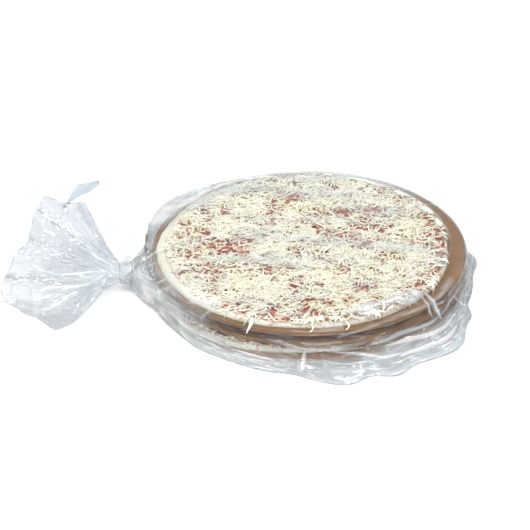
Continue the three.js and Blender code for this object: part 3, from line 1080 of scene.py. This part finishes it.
class BagFilm:
    """The film round the stack, in mm. Its rings run from the middle of its lid out over the rims, down its
    wall to the hem and back beneath, and its columns run round the stack."""

    def __init__(self, columns):
        self.degrees = film_angles(columns)[None, :]
        self.turn = np.radians(self.degrees)
        rim = pizza_rim(self.degrees)
        outline, hem = film_reach(self.degrees)
        edge = BOARD_EDGE + FILM_SLACK + eased_along(RIM_BULGE, self.degrees)
        lid = lid_rings(rim)
        shoulder = shoulder_rings(rim, edge)
        wall = wall_rings(self.degrees, edge, outline, hem)
        under = under_rings(self.degrees, outline, wall[1][-1])
        radius, height = (np.concatenate(parts) for parts in zip(lid, shoulder, wall, under))
        self.x, self.y = radius * np.cos(self.turn), radius * np.sin(self.turn)
        self.places = np.stack([self.x, self.y, height], axis=-1)
        self.lid_height = lid[1]
        self.skirt = outline - edge
        self.note_regions([len(part[0]) for part in (lid, shoulder, wall)])
        self.note_pleats()
        self.note_drapes()
        self.note_folds()

    def note_regions(self, counts):
        """Where the lid, the wall and the underside are, from how many rings each has."""
        self.rows = np.arange(len(self.places))[:, None]
        self.ends = np.cumsum(counts)
        self.lid_end, self.rim_end, wall_end = self.ends
        self.on_top = (self.rows < self.lid_end + 2) * 1.0
        self.on_wall = ((self.rows >= self.lid_end + 2) & (self.rows < wall_end)) * 1.0
        self.beneath = (self.rows >= wall_end) * 1.0
        self.down = np.clip((self.rows - self.rim_end) / counts[2], 0, 1)

    def note_pleats(self):
        """Pleats that fan out from the tie."""
        self.away, bearing = from_neck(self.x, self.y)
        fan = (bearing + 0.05 * np.sin(self.away / 17)) * 9
        self.pleats = ridges(fan, self.away / 90, 4) + 0.5 * ridges(fan * 2.1, self.away / 50, 8)
        self.reach = ease(self.away, 8, 38) * (1 - ease(self.away, 60, 140))
        self.unpleated = 1 - self.reach * self.on_wall

    def note_drapes(self):
        """Drapes of the wall, and facets and long folds where the skirt lies flat."""
        down, around = self.down, self.degrees * 2.75
        around = around + 14 * (soft_noise(self.degrees / 9, down * 2, 5) - 0.5)
        self.drapes = ridges(around / 21 + 1.4 * down, down * 1.2, 2)
        self.drapes += 0.5 * ridges(around / 9 - 2.2 * down, down * 2, 7)
        self.flat = ease(self.skirt, 10, 30) * self.on_wall * ease(down, 0.2, 0.55)
        self.facets = crumples(self.x / 24 + 3, self.y / 19, 2)
        self.along_hem = ridges(around / 58, down * 4.5 + around / 90, 9)

    def note_folds(self):
        """The folds that stand out, and stray ones, with their painted white highlights, broken into specks
        on the lid.
        """
        level = np.interp(self.rows + 1, (0, *self.ends), range(len(self.ends) + 1))
        folds = (*FILM_FOLDS, *stray_folds(STRAY_FOLDS, np.random.default_rng(4)))
        self.placed, self.painted_fold_highlight = folded(self.degrees, level, folds)
        speckles = ease(layered_noise(self.x / 6, self.y / 4, 15), 0.38, 0.58)
        self.painted_fold_highlight *= np.where(self.on_top > 0, 0.4 + 0.65 * speckles, 1)

    def slant(self):
        """Places across the waves of the lid, which run along the bag."""
        return self.y + 0.12 * self.x + 6 * (soft_noise(self.x / 60, self.y / 40, 9) - 0.5)

    def relief(self):
        """How far the film stands off its smooth shape."""
        slant = self.slant()
        waves = 0.3 * ridges(self.x / 85, slant / 19, 3) + 0.08 * ridges(self.x / 40 + 5, slant / 8, 6)
        relief = self.on_top * waves * (0.5 + 0.5 * ease(self.away, 40, 200))
        relief += (self.on_wall + 0.2 * self.on_top) * 2.4 * self.pleats * self.reach
        fold_depth = 4 * self.down * (1 - self.down) * 1.5 + 0.3
        relief += self.on_wall * self.unpleated * fold_depth * (self.drapes - 0.35)
        fine = crumples(self.x / 11, self.y / 9 + 2, 5)
        relief += self.flat * (1.5 * (self.facets - 0.3) + 0.4 * (fine - 0.3) + 1.6 * self.along_hem)
        return (relief + self.placed) * (1 - self.beneath)

    def creased_places(self):
        """The film's places with its relief, and a ragged hem."""
        hemmed = 1 - 0.85 * ease(self.down, 0.8, 1.0) * self.unpleated
        normals = surface_normals(self.places)
        normals *= np.where((normals[..., 2:] < 0) & (self.beneath < 1)[..., None], -1, 1)
        places = self.places + normals * (self.relief() * hemmed)[..., None]
        wander = self.on_wall * ease(self.down, 0.5, 1) * self.unpleated
        ragged = wander * (1.6 * (crumples(self.degrees / 5.5, 0.5, 3) - 0.4))
        places[..., 0] += ragged * np.cos(self.turn)
        places[..., 1] += ragged * np.sin(self.turn)
        floor = np.where(self.beneath > 0, 0.35, 0.9) + 0 * ragged
        floor[: self.lid_end] = self.lid_height - 0.5
        places[..., 2] = np.maximum(places[..., 2], floor)
        return places

    def veils(self):
        """Milkiness of the lid where it lies slack on the cheese, partly a painted reflection of light off
        it.
        """
        x, y = self.x, self.y
        veil = 0.12 * ease(layered_noise(x / 60 + 2, self.slant() / 17, 12), 0.5, 0.68)
        patchy = 0.55 + 0.45 * layered_noise(x / 16, y / 9, 14)
        for spot_x, spot_y, half_long, half_wide, lean, white in VEILS:
            spin = math.radians(lean)
            length = ((x - spot_x) * math.cos(spin) + (y - spot_y) * math.sin(spin)) / half_long
            breadth = ((y - spot_y) * math.cos(spin) - (x - spot_x) * math.sin(spin)) / half_wide
            veil = np.maximum(veil, white * patchy * np.exp(-(length**4) - breadth**2))
        return veil * self.on_top

    def back_milk(self):
        """Milkiness of the film that is drawn over the back of the stack. Near the board's rim it is made
        whiter, painted light on film that lies in shade.
        """
        degrees, down, upright = self.degrees, self.down, upright_wall(self.degrees)
        edges = ease(self.rows, self.lid_end - 4, self.lid_end + 1) * (1 - self.beneath)
        edges = edges * (1 - ease(down, 0.1 - 0.1 * upright, 0.5 - 0.4 * upright))
        behind = ease(degrees, 25, 68) * (1 - ease(degrees, 158, 172))
        cloudy = 0.5 * (layered_noise(self.x / 24, self.y / 15, 17) - 0.3)
        cloudy = 0.72 + cloudy + 0.1 * ridges(self.x / 30, self.y / 12, 18)
        # Whiter near the board's rim: painted light on film that lies in shade
        cloudy *= 1 + 0.4 * ease(np.hypot(self.x, self.y), 150, 156)
        inside = ease(self.rows, self.lid_end - 9, self.lid_end) * self.on_top
        inside = inside * (1 - ease(degrees, 150, 170)) * ease(degrees, 95, 115)
        return 0.8 * edges * behind * cloudy + 0.35 * inside

    def milk(self):
        """Milkiness of the film from 0 to 1: at its hem, folds, pleats and veils. The white of its folds is
        painted highlight, and its veils are partly painted reflection.
        """
        degrees, down = self.degrees, self.down
        crease = 1 - np.clip(self.facets * 5, 0, 1)
        earlier = 0.17 * ease(degrees, 283, 300) * (1 - ease(degrees, 346, 360))
        hem = ease(down, 0.4 - earlier, 0.66 - earlier) * self.on_wall * self.unpleated
        hem = hem * (1 - 0.85 * upright_wall(degrees))
        streaks = layered_noise(degrees / 3.4, down * 5 + degrees / 40, 6)
        misty = ease(degrees, 190, 202) * (1 - ease(degrees, 220, 240)) * (0.4 + 0.6 * streaks)
        gathered = (0.4 + 0.6 * self.pleats) * self.reach * np.where(self.rows < self.rim_end, 0.3, 1)
        milk = hem * (0.5 + 0.1 * ease(streaks, 0.3, 0.75))
        milk += self.flat * (0.08 + 0.06 * crease + 0.22 * self.along_hem)
        milk += self.on_wall * (gathered + 0.03 * self.drapes * (1 - hem) + 0.3 * misty)
        milk += 0.15 * ease(self.away, 60, 12) * (1 - self.beneath)
        return np.clip(milk + self.veils() + self.back_milk() + self.painted_fold_highlight, 0, 1)

    def thickness(self):
        """Where the film is bunched against the stack at the neck."""
        near = np.exp(-(((self.x + 154) / 8) ** 2) - ((self.y - 4) / 20) ** 2)
        return near * self.on_wall * (0.3 + self.pleats).clip(0, 1)

    def streaks(self):
        """Where fine lines run down the wall."""
        starting = ease(self.rows, self.rim_end - 3, self.rim_end + 4)
        return self.on_wall * self.unpleated * starting * (0.55 + 0.45 * ease(self.down, 0.3, 0.6))


def make_film_body(colours):
    """The film round the stack: flat on the cheese, taut over the rims, crumpled at the hem, and
    gathered in pleats towards the neck."""
    film = BagFilm(670)
    bm = tube(
        film.creased_places() * MM, fold=film.milk(), thick=film.thickness(), streak=film.streaks(),
        lid=0.5 * film.on_top)
    return add_piece(finished("film_body", bm, film_finish(colours, "clear film")))


# Folds on the loose end: from and to, out from the tie and up its slope, then half width and height
# in mm, and milkiness, a white highlight painted along the crest
TAIL_FOLDS = (
    (86, 5, 59, -5, 2.4, 1.6, 0.9), (78, -21, 32, -14, 1.8, 1.2, 0.9), (61, -5, 30, -3, 1.6, 1.0, 0.9),
    (76, 44, 63, 38, 2.4, 1.4, 0.8), (53, 49, 46, 39, 1.8, 1.2, 0.9), (51, 34, 39, 32, 1.8, 1.2, 0.8),
    (100, 8, 100, -5, 1.6, 1.0, 0.6), (67, 17, 55, 20, 1.8, 1.2, 0.7), (106, -28, 92, -24, 1.8, 1.2, 0.7),
    (88, 60, 60, 30, 1.4, 1.2, 0.5), (104, 30, 50, 12, 1.4, 1.2, 0.4), (70, -50, 40, -26, 1.6, 1.2, 0.5),
    (58, 62, 34, 30, 1.4, 1.2, 0.6), (30, 20, 16, 8, 1.2, 0.8, 0.6), (96, -8, 40, -9, 1.2, 0.8, 0.3),
)


def two_films(columns, start, end):
    """Columns of a tube that lies flat: places across it, there on its upper film and back on its lower
    one, and the side, which is 1 above and -1 below."""
    there = np.linspace(start, end, columns)
    across = np.concatenate([there, there[::-1]])[None, :]
    return across, np.repeat([1.0, -1.0], columns)[None, :]


def tail_sheet(out, across, side, thick):
    """The loose end before it is creased, in its own sloping plane: the angle from its middle, the distance
    from the tie, the place up the slope, and the height. Out runs from the tie to the mouth, and across
    from the lower to the upper edge."""
    lowest, highest = TAIL_REACH[0][0], TAIL_REACH[-1][0]
    degrees = lowest + (highest - lowest) * across
    reach = out * np.interp(degrees, *zip(*TAIL_REACH))
    opened = ease(out, 0, 0.45)
    sideways = 2 * across - 1
    narrow = 1 - 0.55 * ease(out, 0.75, 0.25) * ease(across, 0.25, 0)
    up = reach * np.sin(np.radians(degrees)) * narrow + sideways * (NECK_RADIUS - 1) * (1 - opened)
    half_tie = 0.9 * NECK_RADIUS * np.sqrt((1 - sideways**2).clip(0)) + 0.4
    half = half_tie * (1 - opened) + thick * opened
    cup = TAIL_CUP * out * ((across - TAIL_MIDDLE) / (1 - TAIL_MIDDLE)) ** 2
    waves = np.sin(34 * across) + 0.6 * np.sin(57 * across + 1)
    return degrees, reach, up, cup + 2.6 * waves * opened + side * half


def tail_creases(out, across, side, reach, up):
    """Pleats, large facets and small ones of the loose end, other ones on each of its films."""
    film = np.where(side > 0, 0, 40)
    wander = 5 * (soft_noise(out * 3 + film, across * 6, 1) - 0.5)
    fan = across * 19 + 0.9 * wander
    pleats = ridges(fan, out * 1.5, film) + 0.55 * ridges(fan * 2.3, out * 2.4, film + 2)
    facets = crumples(reach / 22 + film, up / 15, 6)
    fine = crumples(reach / 7 + film, up / 5.5 + 3, 8)
    return pleats, facets, fine


def make_film_tail(colours):
    """The loose end of the bag beyond the tie: two films that open like a fan of pleats. Its upper part is
    darkened as painted shade, and its lower edge made milkier as painted light.
    """
    out = (np.linspace(0, 1, 120) ** 0.95)[:, None]
    across, side = two_films(250, 0, 1)
    mouth = 1 - ease(out, 0.86, 1.0)
    inland = np.sqrt(np.clip(1 - np.abs(2 * across - 1) ** 6, 0, 1))
    thick = (0.25 + 3.6 * mouth) * (0.12 + 0.88 * inland)
    degrees, reach, up, lift = tail_sheet(out, across, side, thick)
    pleats, facets, fine = tail_creases(out, across, side, reach, up)
    turn = np.radians(degrees)
    fade = ease(out, 0.0, 0.25)
    calm = 0.25 + 0.75 * inland
    placed, painted_fold_highlight = creased(reach * np.cos(turn) + 0 * up, up, TAIL_FOLDS)
    relief = 1.7 * (pleats - 0.5) * (1 - 0.6 * out) + 2.6 * out * (facets - 0.3) + 0.35 * out * fine
    relief *= fade * calm * np.where(mouth > 0, 0.35 + 0.65 * mouth, 1)
    lift = lift + relief + np.where(side > 0, placed * calm, 0)
    reach = reach * (1 + 0.012 * (crumples(across * 24, 0.5 + 0 * out, 4) - 0.4) * ease(out, 0.9, 1))
    places = np.stack([
        NECK[0] - NECK_HALF + 0.4 - reach * np.cos(turn),
        NECK[1] + up * math.cos(TAIL_SLOPE) - lift * math.sin(TAIL_SLOPE),
        NECK[2] + up * math.sin(TAIL_SLOPE) + lift * math.cos(TAIL_SLOPE),
    ], axis=-1)
    places[..., 2] = np.maximum(places[..., 2], np.where(side > 0, 1.4, 0.4))
    crease = 1 - np.clip(facets * 5, 0, 1)
    milk = 0.35 * (1 - ease(out, 0.05, 0.6)) + 0.3 * pleats * fade * (1 - out) + 0.2 * crease * out
    # The last term makes the lower edge milkier: painted light where the film lies in shade near the floor
    milk += 0.3 * (1 - inland) + 0.3 * ease(out, 0.97, 1) + 0.08 * ease(across, 0.5, 0.1)
    milk = np.clip(milk + np.where(side > 0, painted_fold_highlight, 0), 0, 1)
    # Darker towards the upper edge: painted shade, with a random unevenness
    tint_and_shade = 1.15 * ease(across, 0.25, 0.85) + 0.3 * (layered_noise(reach / 30, up / 18, 31) - 0.5)
    bm = tube(places * MM, flat_ends=(-1,), fold=milk, thick=tint_and_shade.clip(0, 1.3))
    return add_piece(finished("film_tail", bm, film_finish(colours, "loose film")))


def rounded_route(route, rows):
    """Points along a rounded line through a few places, whose ends are kept."""
    route = np.array(route, dtype=float)
    share = np.linspace(0, 1, rows)
    knots = np.linspace(0, 1, len(route))
    line = np.stack([np.interp(share, knots, values) for values in route.T], axis=-1)
    padded = np.pad(line, ((10, 10), (0, 0)), mode="edge")
    line = np.stack([np.convolve(values, np.ones(21) / 21, mode="valid") for values in padded.T], axis=-1)
    share = share[:, None]
    return line + (route[0] - line[0]) * (1 - share) + (route[-1] - line[-1]) * share


def make_film_tongue(colours):
    """The long corner of the mouth, which stands up and curls back to a point."""
    rows = 70
    out = np.linspace(0, 1, rows)[:, None]
    across, side = two_films(14, -0.5, 0.5)
    x, y, z = rounded_route(TONGUE_ROUTE, rows).T[:, :, None]
    width = TONGUE_WIDTH * (0.25 + 0.75 * ease(out, 0.15, 0.6))
    width = across * width * np.clip((1.01 - out) / 0.4, 0, 1) ** 0.75
    curl = 1.2 * np.cos(2 * np.pi * across) + 0.25 * (ridges(out * 4, across * 2, 5) - 0.5)
    half = 0.25 + 0.5 * np.sqrt(np.clip(1 - (2 * across) ** 2, 0, 1))
    places = np.stack([x - 0.75 * width, y - 0.1 * width, z + 0.65 * width + side * half + curl], axis=-1)
    milk = (0.38 + 0.2 * ridges(out * 5, across * 2, 2)) * ease(out, 0, 0.2)
    bm = tube(places * MM, flat_ends=(0, -1), fold=milk, thick=0.3 + 0.7 * ease(out, 0, 0.3))
    return add_piece(finished("film_tongue", bm, film_finish(colours, "tongue film")))


# ---------------------------------------------------------------- tape

def tape_path():
    """The middle line of the tape, round the neck and up both sides of its flag: places across and up."""
    gap = 0.45
    start = math.asin(gap / TAPE_RADIUS)
    ring = np.linspace(math.pi / 2 + start, 2.5 * math.pi - start, 110)
    rise = np.linspace(TAPE_RADIUS + TAPE_FLAG, TAPE_RADIUS + 0.3, 24)
    y = np.concatenate([np.full(len(rise), -gap), TAPE_RADIUS * np.cos(ring), np.full(len(rise), gap)])
    z = np.concatenate([rise, TAPE_RADIUS * np.sin(ring), rise[::-1]])
    curl = np.clip((z - TAPE_RADIUS) / TAPE_FLAG, 0, 1)
    return y * (1 - 0.35 * curl) + 1.4 * curl**2, z


def make_neck_tape():
    """Tape that goes once round the neck, with its two ends stuck together in a flag."""
    y, z = tape_path()
    ahead = unit(np.stack([np.gradient(y), np.gradient(z)], axis=-1))
    y, z = y[:, None], z[:, None]
    corner = np.linspace(0, 2 * math.pi, 28, endpoint=False)
    wide = (np.sign(np.cos(corner)) * np.abs(np.cos(corner)) ** 0.25 * TAPE_WIDTH / 2)[None, :]
    thin = (np.sign(np.sin(corner)) * np.abs(np.sin(corner)) ** 0.5 * 0.24)[None, :]
    travel = np.arange(len(y))[:, None] * 0.5
    wide = wide * (1 + 0.03 * (soft_noise(travel / 3, np.sign(wide) * 3) - 0.5))
    off = thin + 0.28 * (layered_noise(travel / 2.2, wide / 2.5, 7) - 0.5)
    up_flag = (z - TAPE_RADIUS) / TAPE_FLAG
    skew = 0.9 * np.clip(up_flag, 0, 1) * up_flag
    places = np.stack([
        NECK[0] + wide + skew,
        NECK[1] + y - ahead[:, 1:] * off,
        NECK[2] + z + ahead[:, :1] * off,
    ], axis=-1)
    return add_piece(finished("tape_band", tube(places * MM), tape_finish()), "neck_tape")


# ---------------------------------------------------------------- stage


# Each light: its place, what it is aimed at, its size in m, and its power
LIGHTS = {
    "front softbox": ((0.2, -1.3, 1.5), (0, 0, 0), (1.2, 0.7), 16),
    "key": ((-0.75, -0.35, 1.45), (0, 0, 0), (0.3, 0.3), 7.8),
    "right glint": ((0.33, 0.74, 1.26), (0.08, -0.11, 0.04), (0.32, 0.24), 4),
    "left glint": ((-0.5, 0.8, 1.17), (-0.1, -0.1, 0.04), (0.3, 0.16), 2.4),
}

# The camera, from the size, scale and angle of the photo
PIXELS = 530
MM_PER_PIXEL = 0.974
CAMERA_ELEVATION = math.radians(31)
CAMERA_DISTANCE = 6.0
AIM = Vector((-42.4, 0, 15.6)) * MM


def make_surround():
    """White all round, and darker low down at the back, so that the film has something to mirror."""
    world = bpy.data.worlds.new("studio")
    world.use_nodes = True
    nodes, links = world.node_tree.nodes, world.node_tree.links
    parts = nodes.new("ShaderNodeSeparateXYZ")
    links.new(nodes.new("ShaderNodeTexCoord").outputs["Generated"], parts.inputs[0])
    low_back = nodes.new("ShaderNodeMath")
    low_back.operation = "MULTIPLY_ADD"
    low_back.inputs[1].default_value = -0.9
    links.new(parts.outputs["Z"], low_back.inputs[0])
    links.new(parts.outputs["Y"], low_back.inputs[2])
    shade = nodes.new("ShaderNodeMapRange")
    for name, value in (("From Min", -0.15), ("From Max", 0.35), ("To Min", 1.03), ("To Max", 0.5)):
        shade.inputs[name].default_value = value
    links.new(low_back.outputs[0], shade.inputs["Value"])
    links.new(shade.outputs["Result"], nodes["Background"].inputs["Strength"])
    nodes["Background"].inputs["Color"].default_value = (1, 1, 1, 1)
    bpy.context.scene.world = world


def make_floor():
    """A plain pale floor."""
    bm = bmesh.new()
    bmesh.ops.create_grid(bm, x_segments=1, y_segments=1, size=4)
    n = Nodes("studio floor")
    n.surface((0.93, 0.93, 0.93), 0.9)
    finished("floor", bm, n.material, outward=False)


def make_light(name, place, aim, size, power):
    """A soft rectangular light."""
    data = bpy.data.lights.new(name, "AREA")
    data.shape = "RECTANGLE"
    data.size, data.size_y = size
    data.energy = power
    light = bpy.data.objects.new(name, data)
    light.location = place
    light.rotation_euler = (Vector(aim) - Vector(place)).to_track_quat("-Z", "Y").to_euler()
    bpy.context.scene.collection.objects.link(light)


def make_camera():
    """A far camera that frames the bag as the photo does."""
    data = bpy.data.cameras.new("camera")
    data.lens = data.sensor_width * CAMERA_DISTANCE / (PIXELS * MM_PER_PIXEL * MM)
    data.clip_start = 0.1
    data.clip_end = 20
    camera = bpy.data.objects.new("camera", data)
    back = Vector((0, -math.cos(CAMERA_ELEVATION), math.sin(CAMERA_ELEVATION)))
    camera.location = AIM + back * CAMERA_DISTANCE
    camera.rotation_euler = (-back).to_track_quat("-Z", "Y").to_euler()
    bpy.context.scene.collection.objects.link(camera)
    bpy.context.scene.camera = camera


def make_stage():
    """The surround, the floor, the lights and the camera."""
    bpy.context.scene.view_settings.view_transform = "Standard"
    make_surround()
    make_floor()
    for name, settings in LIGHTS.items():
        make_light(name, *settings)
    make_camera()


# ---------------------------------------------------------------- operators


class PIZZABAG_OT_boards(bpy.types.Operator):
    """Make the round kraft boards"""

    bl_idname = "pizzabag.boards"
    bl_label = "Boards"

    def execute(self, context):
        for layer in LAYERS:
            make_board(context.scene.pizza_sizes, context.scene.pizza_colours, layer)
        return {"FINISHED"}


class PIZZABAG_OT_pizzas(bpy.types.Operator):
    """Make the raw dough and its sauce"""

    bl_idname = "pizzabag.pizzas"
    bl_label = "Dough and sauce"

    def execute(self, context):
        for layer in LAYERS:
            make_crust(context.scene.pizza_sizes, context.scene.pizza_colours, layer)
            make_sauce(context.scene.pizza_sizes, context.scene.pizza_colours, layer)
        return {"FINISHED"}


class PIZZABAG_OT_cheese(bpy.types.Operator):
    """Scatter the shredded cheese"""

    bl_idname = "pizzabag.cheese"
    bl_label = "Cheese"

    def execute(self, context):
        for layer in LAYERS:
            make_cheese(context.scene.pizza_sizes, context.scene.pizza_colours, layer)
        make_hanging_shreds(context.scene.pizza_sizes, context.scene.pizza_colours)
        return {"FINISHED"}


class PIZZABAG_OT_film(bpy.types.Operator):
    """Wrap the stack in film, with the gathered neck and the loose end"""

    bl_idname = "pizzabag.film"
    bl_label = "Film"

    def execute(self, context):
        make_film_body(context.scene.pizza_colours)
        make_film_tail(context.scene.pizza_colours)
        make_film_tongue(context.scene.pizza_colours)
        return {"FINISHED"}


class PIZZABAG_OT_tape(bpy.types.Operator):
    """Tape the neck of the bag"""

    bl_idname = "pizzabag.tape"
    bl_label = "Tape"

    def execute(self, context):
        make_neck_tape()
        return {"FINISHED"}


class PIZZABAG_OT_stage(bpy.types.Operator):
    """Set up the floor, the lights and the camera"""

    bl_idname = "pizzabag.stage"
    bl_label = "Stage"

    def execute(self, context):
        make_stage()
        return {"FINISHED"}


class PIZZABAG_PT_panel(bpy.types.Panel):
    """Lists the operators and the values that they use."""

    bl_idname = "PIZZABAG_PT_panel"
    bl_label = "Pizza bag"
    bl_space_type = "VIEW_3D"
    bl_region_type = "UI"
    bl_category = "Pizza bag"

    def draw(self, context):
        for operator in OPERATORS:
            self.layout.operator(operator.bl_idname)
        for group in (context.scene.pizza_sizes, context.scene.pizza_colours):
            for name in group.__annotations__:
                self.layout.prop(group, name)


OPERATORS = (
    PIZZABAG_OT_boards, PIZZABAG_OT_pizzas, PIZZABAG_OT_cheese, PIZZABAG_OT_film,
    PIZZABAG_OT_tape, PIZZABAG_OT_stage)
CLASSES = (PizzaSizes, PizzaColours, *OPERATORS, PIZZABAG_PT_panel)


def register():
    for cls in CLASSES:
        bpy.utils.register_class(cls)
    bpy.types.Scene.pizza_sizes = PointerProperty(type=PizzaSizes)
    bpy.types.Scene.pizza_colours = PointerProperty(type=PizzaColours)


def unregister():
    del bpy.types.Scene.pizza_colours
    del bpy.types.Scene.pizza_sizes
    for cls in reversed(CLASSES):
        bpy.utils.unregister_class(cls)


def main():
    register()
    for operator in ("boards", "pizzas", "cheese", "film", "tape", "stage"):
        getattr(bpy.ops.pizzabag, operator)()


if __name__ == "__main__":
    main()
